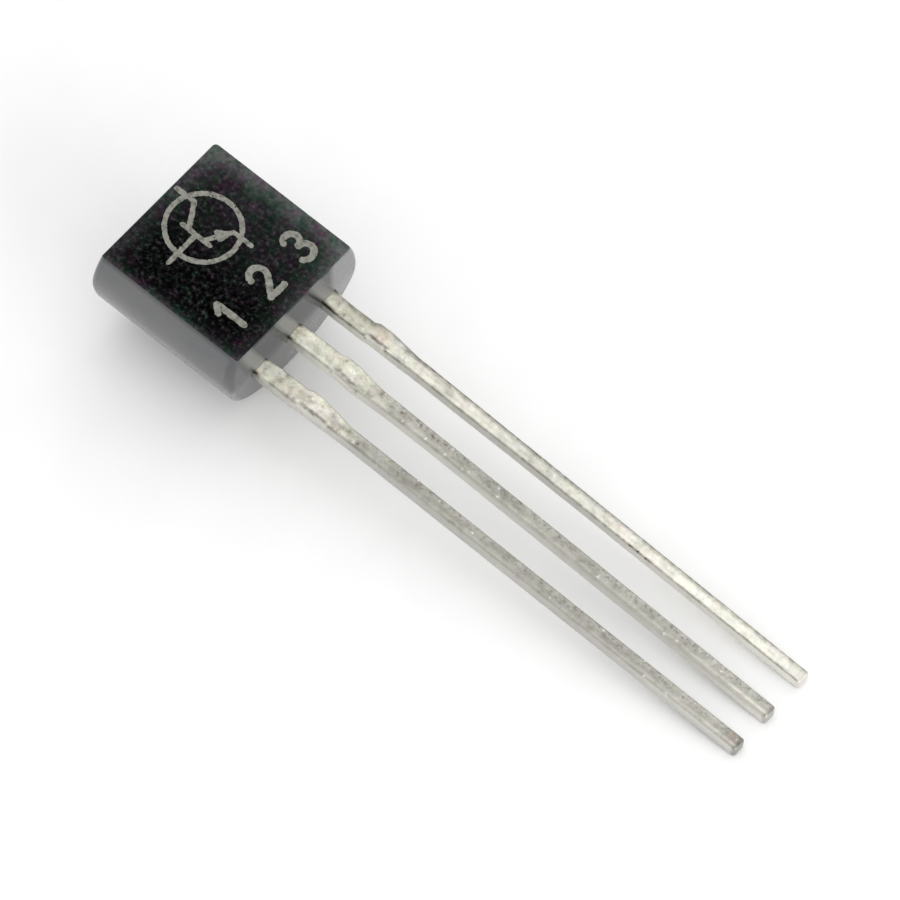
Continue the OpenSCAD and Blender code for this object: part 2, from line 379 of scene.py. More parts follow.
def tin(name, mesh):
    """Tin plating with all that shows on it, its gloss as mottled as its colour."""
    tree, shader = new_material(name, mesh)
    cloud = noise_level(tree, scale=1.8, detail=2)
    mottle = noise_level(tree, scale=4.5, detail=5, roughness=0.65)
    colour = tin_spots(tree, tin_grain(tree, tin_plating(tree, cloud, mottle)))
    tree.links.new(colour, shader.inputs["Base Color"])
    shader.inputs["Metallic"].default_value = 1
    ramp(tree, mottle, [(0.3, 0.5), (0.7, 0.3)], shader.inputs["Roughness"])
    bump(tree, shader, [(cloud, 30, 0.4), (mottle, 14, 0.5)])


def ink(mesh):
    """Thin pale grey marking ink, blotchy where it wet the grain of the compound."""
    tree, shader = new_material("marking_ink", mesh)
    blotch = noise_level(tree, scale=9, detail=3)
    ramp(tree, blotch,
         [(0.34, (0.13, 0.13, 0.112)), (0.46, (0.21, 0.21, 0.182)), (0.66, (0.27, 0.27, 0.238))],
         shader.inputs["Base Color"])
    shader.inputs["Roughness"].default_value = 0.7
    shader.inputs["Specular IOR Level"].default_value = 0.2
    bump(tree, shader, [(blotch, 3, 0.6)])


def silicon(node):
    """Polished silicon, with the fine lines of the chip's regions."""
    tree, shader = repaint(node, "silicon")
    lines = cell_distance(tree, scale=9)
    ramp(tree, lines, [(0.1, (0.12, 0.13, 0.17)), (0.5, (0.2, 0.22, 0.3))],
         shader.inputs["Base Color"])
    shader.inputs["Metallic"].default_value = 0.8
    ramp(tree, lines, [(0.1, 0.3), (0.5, 0.12)], shader.inputs["Roughness"])


def silver_adhesive(node):
    """Silver-filled adhesive: a grey paste full of bright flakes."""
    tree, shader = repaint(node, "attach_adhesive")
    flakes = cell_distance(tree, scale=60)
    ramp(tree, flakes, [(0.2, (0.75, 0.74, 0.7)), (0.7, (0.4, 0.39, 0.37))],
         shader.inputs["Base Color"])
    shader.inputs["Metallic"].default_value = 0.6
    shader.inputs["Roughness"].default_value = 0.5
    bump(tree, shader, [(flakes, 3, 0.5)])


def gold_wire(node):
    """Drawn gold wire with faint drawing marks."""
    tree, shader = repaint(node, "bond_wire")
    marks = noise_level(tree, scale=40, detail=2)
    ramp(tree, marks, [(0.3, (0.85, 0.58, 0.2)), (0.7, (0.95, 0.72, 0.34))],
         shader.inputs["Base Color"])
    shader.inputs["Metallic"].default_value = 1
    ramp(tree, marks, [(0.3, 0.18), (0.7, 0.32)], shader.inputs["Roughness"])


def repaint(node, name):
    """A new material in the slots of a CAD node that keeps its own shape."""
    tree, shader = new_material(name)
    for slot in frame["nodes"][node].material_slots:
        slot.material = bpy.data.materials[name]
    return tree, shader


# ----- Mesh helpers -----

def grown(position, size, seed):
    """Smooth noise from -1 to 1 at a point in millimetres, with features of about that size."""
    return noise.noise(Vector(position) / size + Vector((seed, 3.1 * seed, -1.7 * seed)))


def grown_share(position, size, seed):
    """The same noise, from 0 to 1."""
    return 0.5 + 0.5 * grown(position, size, seed)


def clamp(value):
    return max(0.0, min(1.0, value))


def level(x, stops):
    """The value at x on straight lines between (x, value) stops."""
    if x <= stops[0][0]:
        return stops[0][1]
    for (x0, v0), (x1, v1) in zip(stops, stops[1:]):
        if x <= x1:
            return v0 + (v1 - v0) * (x - x0) / (x1 - x0)
    return stops[-1][1]


def skin(rings):
    """A bmesh from rings of points, each joined to the next; the end rings are filled."""
    bm = bmesh.new()
    made = [[bm.verts.new(p) for p in ring] for ring in rings]
    count = len(rings[0])
    for one, two in zip(made, made[1:]):
        for i in range(count):
            j = (i + 1) % count
            bm.faces.new((one[i], one[j], two[j], two[i]))
    bm.faces.new(reversed(made[0]))
    bm.faces.new(made[-1])
    bmesh.ops.recalc_face_normals(bm, faces=bm.faces)
    bm.normal_update()
    return bm


def to_row(bm, name):
    """Lays a bmesh down in the row frame as a new object."""
    bmesh.ops.transform(bm, matrix=PACKAGE, verts=bm.verts)
    mesh = bpy.data.meshes.new(name)
    bm.to_mesh(mesh)
    bm.free()
    obj = bpy.data.objects.new(name, mesh)
    bpy.context.scene.collection.objects.link(obj)
    return obj


def soften(obj, angle):
    """Smooth shading, with the edges sharper than angle, in degrees, kept sharp."""
    mesh = obj.data
    mesh.polygons.foreach_set("use_smooth", [True] * len(mesh.polygons))
    mesh.set_sharp_from_angle(angle=math.radians(angle))


def cut(obj, cutter, operation="DIFFERENCE"):
    """Applies a boolean of cutter to obj, and removes the cutter."""
    modifier = obj.modifiers.new("cut", "BOOLEAN")
    modifier.solver = "MANIFOLD"
    modifier.operation = operation
    modifier.object = cutter
    graph = bpy.context.evaluated_depsgraph_get()
    mesh = bpy.data.meshes.new_from_object(obj.evaluated_get(graph))
    mesh.materials.clear()
    obj.modifiers.clear()
    old = obj.data
    obj.data = mesh
    bpy.data.meshes.remove(old)
    mesh.name = obj.name
    bpy.data.objects.remove(cutter)


def clean(obj):
    """Triangulates obj after its booleans, and drops collapsed and doubled triangles."""
    bm = bmesh.new()
    bm.from_mesh(obj.data)
    tiny = 2e-7
    bmesh.ops.remove_doubles(bm, verts=bm.verts, dist=tiny)
    bmesh.ops.triangulate(bm, faces=bm.faces)
    bmesh.ops.dissolve_degenerate(bm, edges=bm.edges, dist=tiny)
    bmesh.ops.triangulate(bm, faces=bm.faces)
    by_corners = {}
    for face in bm.faces:
        by_corners.setdefault(frozenset(v.index for v in face.verts), []).append(face)
    doubled = [face for faces in by_corners.values() if len(faces) > 1 for face in faces]
    bmesh.ops.delete(bm, geom=doubled, context="FACES")
    bm.to_mesh(obj.data)
    bm.free()


def cad_copy(node, ahead_of=None):
    """A copy of a CAD node as a new object; with ahead_of, only what lies inside X = ahead_of."""
    bm = bmesh.new()
    bm.from_mesh(frame["nodes"][node].data)
    bmesh.ops.remove_doubles(bm, verts=bm.verts, dist=1e-8)
    bmesh.ops.transform(bm, matrix=TO_PACKAGE, verts=bm.verts)
    if ahead_of is not None:
        geometry = bm.verts[:] + bm.edges[:] + bm.faces[:]
        bmesh.ops.bisect_plane(bm, geom=geometry, dist=1e-6, plane_co=(ahead_of, 0, 0),
                               plane_no=(1, 0, 0), clear_outer=True)
        bmesh.ops.holes_fill(bm, edges=[e for e in bm.edges if e.is_boundary], sides=0)
    return to_row(bm, "copy_of_" + node)


def paint(obj, name, value_at):
    """Stores value_at(point in the package frame) on every vertex, for the shader."""
    layer = obj.data.attributes.new(name, "FLOAT", "POINT")
    values = [value_at(TO_PACKAGE @ v.co) for v in obj.data.vertices]
    layer.data.foreach_set("value", values)


def finish_piece(obj, slot_name, *nodes):
    """Puts a piece on the only body, in place of the given CAD nodes; slot_name is not used."""
    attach(obj, "root")
    if nodes:
        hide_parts(*nodes)


# ----- Moulded body -----

def arc_points(middle, r, start, end, steps):
    """Points along an arc, without its last one; angles in radians."""
    y, z = middle
    angles = [start + (end - start) * i / steps for i in range(steps)]
    return [(y + r * math.cos(a), z + r * math.sin(a)) for a in angles]


def d_outline(inset=0.0):
    """Points round the D section, moved in by inset, with three on each side at the parting line."""
    back_r = BACK_R - inset
    edge_r = max(EDGE_R - inset, 0.01)
    edge_z = FLAT_Z - inset - edge_r
    edge_y = math.sqrt((back_r - edge_r) ** 2 - edge_z ** 2)
    edge_a = math.atan2(edge_z, edge_y)
    parting_a = math.asin(PARTING_Z / back_r)
    seam = SEAM_W / 2 / back_r
    left = math.pi - parting_a
    right = 2 * math.pi + parting_a
    flat_steps = 84
    points = arc_points((edge_y, edge_z), edge_r, edge_a, math.pi / 2, 5)
    points += [(edge_y - 2 * edge_y * i / flat_steps, FLAT_Z - inset) for i in range(flat_steps)]
    points += arc_points((-edge_y, edge_z), edge_r, math.pi / 2, math.pi - edge_a, 5)
    stops = [(math.pi - edge_a, 26), (left - seam, 1), (left, 1), (left + seam, 138),
             (right - seam, 1), (right, 1), (right + seam, 26), (2 * math.pi + edge_a, 0)]
    for (start, steps), (end, _) in zip(stops, stops[1:]):
        points += arc_points((0, 0), back_r, start, end, steps)
    return points


def end_x(z):
    """Half the length of the body at height z, with the draft of the ends blended at the parting."""
    off = math.hypot(z - PARTING_Z, DRAFT_BLEND) - DRAFT_BLEND
    return LEAD_END - off * math.tan(DRAFT)


def end_rings(side, radius):
    """The rings of one end, from its middle out to where the side begins: first over the plain face,
    then round its edge."""
    middle_z = -0.45
    face_steps = 40
    edge_steps = 5
    profile = [(i / face_steps, radius, 0) for i in range(1, face_steps)]
    for i in range(edge_steps + 1):
        a = math.pi / 2 * i / edge_steps
        profile.append((1, radius * (1 - math.sin(a)), radius * (1 - math.cos(a))))
    rings = []
    for share, inset, back in profile:
        ring = []
        for y, z in d_outline(inset):
            z = middle_z + share * (z - middle_z)
            ring.append(Vector((side * (end_x(z) - back), share * y, z)))
        rings.append(ring)
    return rings


def body_rings():
    """Rings from the middle of the far end, round its edge, along the side, and over the near end."""
    side_steps = 90
    rings = end_rings(-1, FAR_R)
    for i in range(1, side_steps):
        share = i / side_steps
        rings.append([Vector((share * (end_x(z) - NEAR_R) - (1 - share) * (end_x(z) - FAR_R), y, z))
                      for y, z in d_outline()])
    return rings + end_rings(1, NEAR_R)[::-1]


def roughen_body(bm):
    """Sinks the surface by a few micrometres of waviness, grain and parting line, never outwards."""
    wave_depth, grain_depth, seam_depth = 0.004, 0.002, 0.003
    for v in bm.verts:
        p = v.co
        wave = grown_share(p, size=0.9, seed=11)
        grain = grown_share(p, size=0.12, seed=23) if abs(p.x) < LEAD_END - FAR_R else 0.5
        seam = 1.0 if abs(p.z - PARTING_Z) < 0.01 and abs(p.y) > BACK_R - 0.1 else 0.0
        v.co = p - v.normal * (wave_depth * wave + grain_depth * grain + seam_depth * seam)


def ejector_cutter():
    """The ejector pin's end: a disc with a slightly rounded rim."""
    height = 1
    bm = bmesh.new()
    bmesh.ops.create_cone(bm, cap_ends=True, segments=96, radius1=EJECTOR_D / 2,
                          radius2=EJECTOR_D / 2, depth=height)
    bmesh.ops.translate(bm, verts=bm.verts, vec=(0, 0, -BACK_R + EJECTOR_DEPTH - height / 2))
    rim = [e for e in bm.edges if all(v.co.z > -BACK_R for v in e.verts)]
    bmesh.ops.bevel(bm, geom=rim, offset=0.02, segments=3, affect="EDGES", profile=0.5)
    return to_row(bm, "ejector_cutter")


def gate_scar():
    """The stub of the broken gate on the far end: a low block with a torn, uneven face."""
    columns, rows = 32, 10
    torn_drop, rim_drop = 0.6 * GATE_H, 0.3 * GATE_H
    buried = 0.1
    low_y, low_z = -GATE_W / 2, PARTING_Z - GATE_T
    outer = -LEAD_END - GATE_H
    bm = bmesh.new()
    grid = []
    for i in range(columns + 1):
        line = []
        for j in range(rows + 1):
            y, z = low_y + GATE_W * i / columns, low_z + GATE_T * j / rows
            torn = grown_share((0, y, z), size=0.11, seed=71)
            rim = 1 if i in (0, columns) or j in (0, rows) else 0
            line.append(bm.verts.new((outer + torn_drop * torn + rim_drop * rim, y, z)))
        grid.append(line)
    for i in range(columns):
        for j in range(rows):
            bm.faces.new((grid[i][j], grid[i][j + 1], grid[i + 1][j + 1], grid[i + 1][j]))
    base = bmesh.ops.extrude_face_region(bm, geom=bm.faces[:], use_keep_orig=True)
    for v in base["geom"]:
        if isinstance(v, bmesh.types.BMVert):
            v.co.x = -LEAD_END + buried
    bmesh.ops.recalc_face_normals(bm, faces=bm.faces)
    return to_row(bm, "gate_scar")


def painted_sheen_level(p):
    """How much painted sheen, a painted highlight, lightens the flat: most along its edges, above all
    on the collector's side.
    """
    side = level(p.y, [(-2.1, 0.35), (-1.95, 0.04), (-1.6, 0.0), (-0.8, 0.0), (0.0, 0.05),
                       (0.8, 0.11), (1.2, 0.15), (1.6, 0.25), (1.9, 0.72), (2.1, 0.95)])
    far = level(p.x, [(-2.15, 1), (-2.0, 0.85), (-1.7, 0.25), (-1.4, 0)])
    far *= level(p.y, [(-2, 0.2), (0, 0.3), (1.5, 0.45)])
    near = level(p.x, [(1.5, 0), (1.7, 0.1), (2.0, 0.75), (2.15, 1)])
    near *= level(p.y, [(-2, 0.25), (-1.2, 0.1), (0, 0.25), (1, 0.35), (2, 0.7)])
    patchy = 0.75 + 0.5 * grown_share(p, 0.5, seed=5) + 0.35 * grown(p, 0.12, seed=8)
    return clamp((side + far + near) * patchy)


def side_grey_and_shade(p, below):
    """The sides and the far end: grey, and greyest below the parting line, where painted light grows
    towards the leads; darker along the flat, a painted shade on its edge.
    """
    # painted light: lighter below the parting line, more towards the leads
    painted_lower_light = below * level(p.x, [(-2.2, 0.12), (0, 0.35), (2, 0.5)])
    # painted shade: darker on the flat's rounded edge
    return (0.55 + painted_lower_light) * level(p.z, [(0.84, 1), (0.95, 0.4)])


def near_end_painted_light(p, below):
    """The end with the leads, all painted light and shade: dark between them, a painted shade; pale to
    their
    +Y side, a painted reflection; pale above each of them, a painted reflection of it; and a painted
    highlight along the back."""
    # painted reflection: pale to the +Y side of the leads, less to their -Y side
    outside = 0.95 if p.y > 0 else 0.35
    # painted shade between the leads
    between = level(abs(p.y + 0.1), [(PITCH + 0.1, 1), (PITCH + 0.3, 0)])
    between *= level(p.z, [(-0.9, 0.3), (-0.4, 1)])
    grey = outside + (0.05 - outside) * between
    # painted reflections of the leads, slanting up the end face above each of them
    slant = 0.45 * (p.z - PARTING_Z)
    off_lead = min(abs(p.y + slant - y) for y in (-PITCH, 0, PITCH))
    painted_lead_reflection = level(off_lead, [(0.1, 0.72), (0.26, 0)]) * level(p.z, [(-0.2, 0), (-0.1, 1)])
    # painted highlight along the lower back
    back = level(math.hypot(p.y, p.z), [(BACK_R - 0.2, 0), (BACK_R - 0.05, 1)]) * below
    return grey + (0.95 - grey) * max(painted_lead_reflection, back)


def grey_and_light_level(p):
    """How grey the polished surface is, with painted light and shade on it; the gate's stub is its own
    matte grey.
    """
    below = level(p.z, [(-1.7, 0), (-1.3, 1), (-0.4, 1), (-0.15, 0)])
    if p.x < -LEAD_END - 0.003:                 # the gate's stub
        return 0.85 + 0.15 * grown(p, 0.1, seed=17)
    if p.x < LEAD_END - 0.3:
        return side_grey_and_shade(p, below)
    return near_end_painted_light(p, below)


def body_shape():
    """The moulding with its gate and ejector marks, closed round everything that it holds."""
    bm = skin(body_rings())
    roughen_body(bm)
    body = to_row(bm, "moulded_body")
    cut(body, gate_scar(), "UNION")
    cut(body, ejector_cutter())
    for node in frame["nodes"]:
        if node != "epoxy_body":
            cut(body, cad_copy(node))
    clean(body)
    soften(body, 30)
    return body


def make_body():
    body = body_shape()
    flat_compound(body.data)
    side_compound(body.data)
    outward = (PACKAGE.to_3x3() @ Vector((0, 0, 1))).normalized()
    for face in body.data.polygons:
        on_flat = face.normal.dot(outward) > 0.6 and (TO_PACKAGE @ face.center).z > FLAT_Z - 0.1
        face.material_index = 0 if on_flat else 1
    # painted highlight on the flat: its sheen
    paint(body, "rubbed", painted_sheen_level)
    # the compound's grey, with painted light and shade on the sides and the near end
    paint(body, "dusty", grey_and_light_level)
    finish_piece(body, "moulding_compound", "epoxy_body")


# ----- Marking -----

def bow(cx, cy, rx, ry, a0, a1, steps=12):
    """Points along a piece of an ellipse; angles in degrees."""
    angles = [math.radians(a0 + (a1 - a0) * i / steps) for i in range(steps + 1)]
    return [(cx + rx * math.cos(a), cy + ry * math.sin(a)) for a in angles]


# Plain figures, as strokes in a box 0.6 wide and 1 high about the origin
FIGURES = {
    "1": [[(-0.18, 0.28), (0.04, 0.5), (0.04, -0.5)]],
    "2": [bow(0, 0.22, 0.27, 0.28, 170, -35) + [(-0.27, -0.5), (0.3, -0.5)]],
    "3": [bow(-0.02, 0.25, 0.25, 0.25, 150, -85), bow(-0.02, -0.24, 0.29, 0.26, 85, -150)],
}


def symbol_strokes():
    """The drawing symbol of a transistor: a ring, the base's lead and bar, and the two slanting
    leads, the emitter's with its arrow head."""
    ring = [bow(0, 0, 1, 1, 0, 360, 60)]
    bar = [[(-0.28, -0.46), (-0.28, 0.46)]]
    base = [[(-1.35, 0), (-0.28, 0)]]
    collector = [[(-0.28, 0.24), (0.42, 0.66), (0.42, 1.25)]]
    emitter = [[(-0.28, -0.24), (0.42, -0.66), (0.42, -1.25)]]
    head = [[(0.02, -0.54), (0.29, -0.58), (0.14, -0.34), (0.02, -0.54)]]
    return ring + bar + base + collector + emitter + head


def placed(strokes, right, up, size):
    """Strokes scaled by size, and moved to a place on the flat."""
    return [[(right + size * x, up + size * y) for x, y in stroke] for stroke in strokes]


def stroke_distance(x, y, strokes):
    """Distance of grid points to the nearest stroke."""
    nearest = np.full(x.shape, 1e9)
    for stroke in strokes:
        for (x0, y0), (x1, y1) in zip(stroke, stroke[1:]):
            dx, dy = x1 - x0, y1 - y0
            t = np.clip(((x - x0) * dx + (y - y0) * dy) / (dx * dx + dy * dy), 0, 1)
            nearest = np.minimum(nearest, np.hypot(x - x0 - t * dx, y - y0 - t * dy))
    return nearest


def ink_field(strokes, pen_r, seed):
    """A grid over the strokes: each point's place to the right and up, and how far it is inside the
    ink, whose edge is ragged and which has a few pinholes."""
    margin = 0.2
    points = np.array([p for stroke in strokes for p in stroke])
    low, high = points.min(axis=0) - margin, points.max(axis=0) + margin
    columns, rows = np.ceil((high - low) / INK_CELL).astype(int)
    right, up = np.meshgrid(low[0] + INK_CELL * np.arange(columns + 1),
                            low[1] + INK_CELL * np.arange(rows + 1), indexing="ij")
    inside = pen_r - stroke_distance(right, up, strokes)
    for i, j in np.argwhere(np.abs(inside) < margin):
        p = (right[i, j], up[i, j], 0)
        ragged = 0.016 * grown(p, 0.07, seed) + 0.012 * grown(p, 0.2, seed + 1)
        pinhole = clamp(grown(p, 0.045, seed + 2) * 4 - 2.3)
        inside[i, j] += ragged - 0.15 * pinhole
    hair = 0.1 * INK_CELL                       # keeps the edge off the grid's points
    inside = np.where(np.abs(inside) < hair, np.where(inside > 0, hair, -hair), inside)
    return right, up, inside


def traced(right, up, inside):
    """A flat bmesh of what is inside, cut along its edge. Right runs along Y and up against X."""
    bm = bmesh.new()
    made = {}

    def vertex(key, y, x):
        if key not in made:
            made[key] = bm.verts.new((x, y, FLAT_Z - INK_DEPTH))
        return made[key]

    def crossing(a, b):
        """The vertex where the edge crosses the grid's line from a to b."""
        t = inside[a] / (inside[a] - inside[b])
        return vertex((a, b) if a < b else (b, a),
                      right[a] + t * (right[b] - right[a]), -(up[a] + t * (up[b] - up[a])))

    for i in range(inside.shape[0] - 1):
        for j in range(inside.shape[1] - 1):
            corners = [(i, j), (i + 1, j), (i + 1, j + 1), (i, j + 1)]
            outline = []
            for a, b in zip(corners, corners[1:] + corners[:1]):
                if inside[a] > 0:
                    outline.append(vertex(a, right[a], -up[a]))
                if (inside[a] > 0) != (inside[b] > 0):
                    outline.append(crossing(a, b))
            if len(outline) > 2:
                bm.faces.new(outline)
    return bm


def printed(name, strokes, pen_r, seed):
    """A layer of ink of uneven height along strokes, given as (right, up) points on the flat."""
    bm = traced(*ink_field(strokes, pen_r, seed))
    top = bmesh.ops.extrude_face_region(bm, geom=bm.faces[:], use_keep_orig=True)
    for v in top["geom"]:
        if isinstance(v, bmesh.types.BMVert):
            height = 0.002 - 0.003 * clamp(0.5 + grown(v.co, 0.08, seed + 3))
            v.co.z = FLAT_Z + height
    bmesh.ops.recalc_face_normals(bm, faces=bm.faces)
    mark = to_row(bm, name)
    soften(mark, 40)
    ink(mark.data)
    finish_piece(mark, "marking_ink")


def make_marking():
    """A generic marking: the pins' numbers in line with their leads, and the drawing symbol."""
    for figure, right in zip("123", (-PITCH, 0, PITCH)):
        strokes = placed(FIGURES[figure], right, up=-1.2, size=0.84)
        printed("marking_" + figure, strokes, pen_r=0.085, seed=7)
    strokes = placed(symbol_strokes(), right=0.12, up=0.82, size=0.94)
    printed("marking_symbol", strokes, pen_r=0.066, seed=13)


# ----- Leads -----

def half_width(x, side):
    """Half the width of a lead at x on its side towards +Y (1) or -Y (-1)."""
    stub = ROOT_W / 2 + STUB_H + side * PUNCH_SHIFT
    return level(x, [(STUB_X - STUB_L / 2 - STUB_RAMP, ROOT_W / 2), (STUB_X - STUB_L / 2, stub),
                     (STUB_X + STUB_L / 2, stub), (TAPER_X, LEAD_W / 2)])


def strip_front(x):
    """Height of the strip's front face at x, and the strip's slope there."""
    if x <= BEND_X:
        return PARTING_Z, 0
    if x <= BEND_X + BEND_R * math.sin(DROOP):
        a = math.asin((x - BEND_X) / BEND_R)
        return PARTING_Z - BEND_R * (1 - math.cos(a)), a
    straight = x - BEND_X - BEND_R * math.sin(DROOP)
    return PARTING_Z - BEND_R * (1 - math.cos(DROOP)) - straight * math.tan(DROOP), DROOP


def lead_section(low, high, half_t, low_r, high_r, back_r):
    """A rounded rectangle from low to high across and half_t up and down, as (across, up) points,
    with its own radius at the low and the high corner of the front and at the back."""
    # Of each corner: its side, its radius, the steps round it and the steps along the next face
    corners = [(1, 1, high_r, 5, 12), (-1, 1, low_r, 5, 8), (-1, -1, back_r, 2, 5),
               (1, -1, back_r, 2, 8)]
    arcs = []
    for k, (right, up, r, steps, _) in enumerate(corners):
        cy = (high if right > 0 else low) - right * r
        cz = up * (half_t - r)
        angles = [math.radians(90 * (k + i / steps)) for i in range(steps + 1)]
        arcs.append([(cy + r * math.cos(a), cz + r * math.sin(a)) for a in angles])
    points = []
    for k, arc in enumerate(arcs):
        points += arc
        (y0, z0), (y1, z1) = arc[-1], arcs[(k + 1) % 4][0]
        n = corners[k][4]
        points += [(y0 + (y1 - y0) * i / n, z0 + (z1 - z0) * i / n) for i in range(1, n)]
    return points


def tip_inset(x):
    """How far the rounding of the tip moves the section in at x."""
    past = max(0, x - TIP_X + TIP_R)
    return TIP_R - math.sqrt(max(0, TIP_R ** 2 - past ** 2))


def ring_places():
    """Where the rings of a lead lie: evenly along it, and closer round its tip."""
    straight = TIP_X - TIP_R - LEAD_START
    count = round(straight / RING_STEP)
    places = [LEAD_START + straight * i / count for i in range(count + 1)]
    return places + [TIP_X - TIP_R * (1 - math.sin(math.radians(a))) for a in range(10, 91, 10)]


def roll_share(x, end):
    """How much of the roll beside the stub there is at x; it ends by end past the stub's middle."""
    return level(x, [(STUB_X - 0.28, 0), (STUB_X - 0.18, 1), (STUB_X + end, 1),
                     (STUB_X + end + 0.12, 0)])


def roll_drop(share, across, up, low, half_t):
    """How far the punch sank the front's edge towards -Y, which is at low."""
    edge = clamp(1 - (across - low) / (ROLL_W + 0.02))
    return ROLL_DEPTH * share * edge ** 1.4 * clamp(up / (0.6 * half_t))


class Lead:
    """One stamped and plated lead: its inner head from the CAD node, and its outside from here."""

    def __init__(self, name, node, y, splay, seed, look):
        self.name = name
        self.node = node
        self.y = y                              # middle of the strip at the body
        self.splay = math.radians(splay)
        self.seed = seed
        self.look = look

    # Shape

    def grain(self, p, size, step):
        """Noise from -1 to 1 that differs from lead to lead, and from one step to the next."""
        return grown(p, size, self.seed + step)

    def grain_share(self, p, size, step):
        return grown_share(p, size, self.seed + step)

    def drift(self, x):
        """How far the splay has taken the strip's middle sideways at x."""
        return max(0, x - BEND_X) * math.tan(self.splay)

    def reach(self, x, side):
        """Half the width at x on one side, with what this lead has more than the others there."""
        return half_width(x, side) + level(x - LEAD_END, self.look["fuller"][side])

    def radii(self, x, inset):
        """Rounding of the front's -Y edge, its +Y edge and the back's edges at x."""
        share = level(x - LEAD_END, [(0.05, 0), (0.5, 1)])
        front = [BACK_EDGE_R + share * (r - BACK_EDGE_R) for r in self.look["edge_r"]]
        return [max(r - inset, LEAST_R) for r in front + [BACK_EDGE_R]]

    def ring(self, x):
        """The points round the lead at x."""
        front, slope = strip_front(x)
        half_t = LEAD_T / math.cos(slope) / 2
        inset = tip_inset(x) + level(x - LEAD_END, [(-0.12, 0.01), (-0.04, 0)])
        low, high = -self.reach(x, -1) + inset, self.reach(x, 1) - inset
        rolled = roll_share(x, self.look["roll_end"])
        points = []
        for across, up in lead_section(low, high, half_t - inset, *self.radii(x, inset)):
            sunk = roll_drop(rolled, across, up, low, half_t)
            points.append(Vector((x, self.y + self.drift(x) + across, front - half_t + up - sunk)))
        return points

    def shape(self):
        """The whole lead, its surface sunk by a few micrometres of lumps and grain."""
        lump_depth, fine_depth = 0.007, 0.004
        bm = skin([self.ring(x) for x in ring_places()])
        for v in bm.verts:
            p = v.co
            lump = self.grain_share(p, 0.35, 0)
            fine = self.grain_share(p, 0.09, 5)
            v.co = p - v.normal * (lump_depth * lump + fine_depth * fine)
        lead = to_row(bm, self.name)
        cut(lead, cad_copy(self.node, LEAD_START + 0.1), "UNION")
        clean(lead)
        soften(lead, 50)
        return lead

    # Painted levels, at a point of the package frame

    def place(self, p):
        """Distance out from the body, place across the strip, and height over its front."""
        front, _ = strip_front(p.x)
        return p.x - LEAD_END, p.y - self.y - self.drift(p.x), p.z - front

    def on_side(self, p):
        """1 on the sides and in the roll, 0 on the front and the back."""
        _, across, up = self.place(p)
        if -across > self.reach(p.x, -1) - ROLL_W and up > -LEAD_T / 2:
            rolled = roll_share(p.x, self.look["roll_end"])
            if rolled > 0:
                return rolled
        return clamp((-up - 0.02) / 0.04) * (abs(up + LEAD_T / 2) < LEAD_T / 2 - 0.02)

    def spot_at(self, p, kind):
        """How much of the nearest of the front's spots of a kind there is at p."""
        out, across, up = self.place(p)
        near = max(clamp(1.5 - math.hypot(out - spot_out, across - spot_across) / size)
                   for spot_out, spot_across, size in self.look[kind])
        return near * (0.4 + 0.6 * self.grain_share(p, 0.05, 3)) * clamp((up + 0.1) / 0.05)

    def edge_shade_line(self, p, off, side):
        """A painted shade: the dark line along one of the front's edges, as far as the tip's rounding.
        """
        full, gone, strength = self.look["line"][side]
        line = level(off, [(full, 1), (gone, 0)]) * level(p.x - LEAD_END, strength)
        return line * clamp((TIP_X - p.x - 0.02) / 0.1)

    def roll_crease_shade(self, p, across, rolled):
        """A painted shade: the wavy dark line in the crease where the roll begins."""
        wander = 0.03 * self.grain(p, 0.1, 7)
        off = abs(-across - self.reach(p.x, -1) + ROLL_W + wander)
        return 0.7 * rolled * clamp(1.6 - off / 0.03)

    def grime_and_shade_at(self, p):
        """Painted shade as the dark lines along the edges and the roll's crease, painted shade at the
        root, and the real pits.
        """
        out, across, up = self.place(p)
        side = 1 if across > 0 else -1
        off = max(abs(up), abs(abs(across) - self.reach(p.x, side)))
        uneven = clamp(0.8 + 0.6 * self.grain(p, 0.11, 2) + 0.3 * self.grain(p, 0.6, 6))
        rolled = roll_share(p.x, self.look["roll_end"])
        if side < 0 and rolled > 0 and up > -LEAD_T / 2:
            line = self.roll_crease_shade(p, across, rolled) * uneven
        else:
            line = self.edge_shade_line(p, off, side) * uneven
        # painted shade where the lead goes into the body
        root = clamp(1.3 - out / self.look["root"][side]) * clamp(1.9 - off / 0.06)
        root *= 0.55 + 0.5 * self.grain_share(p, 0.05, 4)
        return clamp(line + root + self.spot_at(p, "pits"))

    def light_and_tone_at(self, p):
        """Brightness, mostly painted light and shade: the front's with its bands of painted highlight
        and shade, the side's, and a little unevenness of the plating's own.
        """
        out, across, _ = self.place(p)
        beside = self.on_side(p)
        # painted light and shade: the front's brightness along the lead, and its bands
        front = level(out, self.look["front"])
        for middle, spread, strength in self.look["light_and_shade_bands"]:
            front *= 1 + level(out, strength) * math.exp(-((across - middle) / spread) ** 2)
        tone = front + beside * (level(out, self.look["side"]) - front)
        tone *= 1 + 0.1 * (1 - 0.6 * beside) * self.grain(p, 0.45, 9)
        return tone * (1 - self.look["tip"] * clamp((p.x - TIP_X + 0.16) / 0.1))

    def polished_at(self, p):
        """How plain the plating is: most on the sides, and more past the taper."""
        out = p.x - LEAD_END
        front = level(out, [(1.5, 0.1), (3.5, 0.5), (14, 0.6)])
        return front + self.on_side(p) * (level(out, [(0.5, 0.7), (3, 0.95)]) - front)

    def specked_at(self, p):
        """Dark specks: on the front only, most past the taper and towards +Y."""
        out, across, _ = self.place(p)
        along = level(out, [(0.3, 0.3), (2.4, 0.5), (4, 0.9)]) * self.look["specks"]
        return along * level(across, [(-0.12, 0.1), (0.0, 0.4), (0.08, 1)]) * (1 - self.on_side(p))

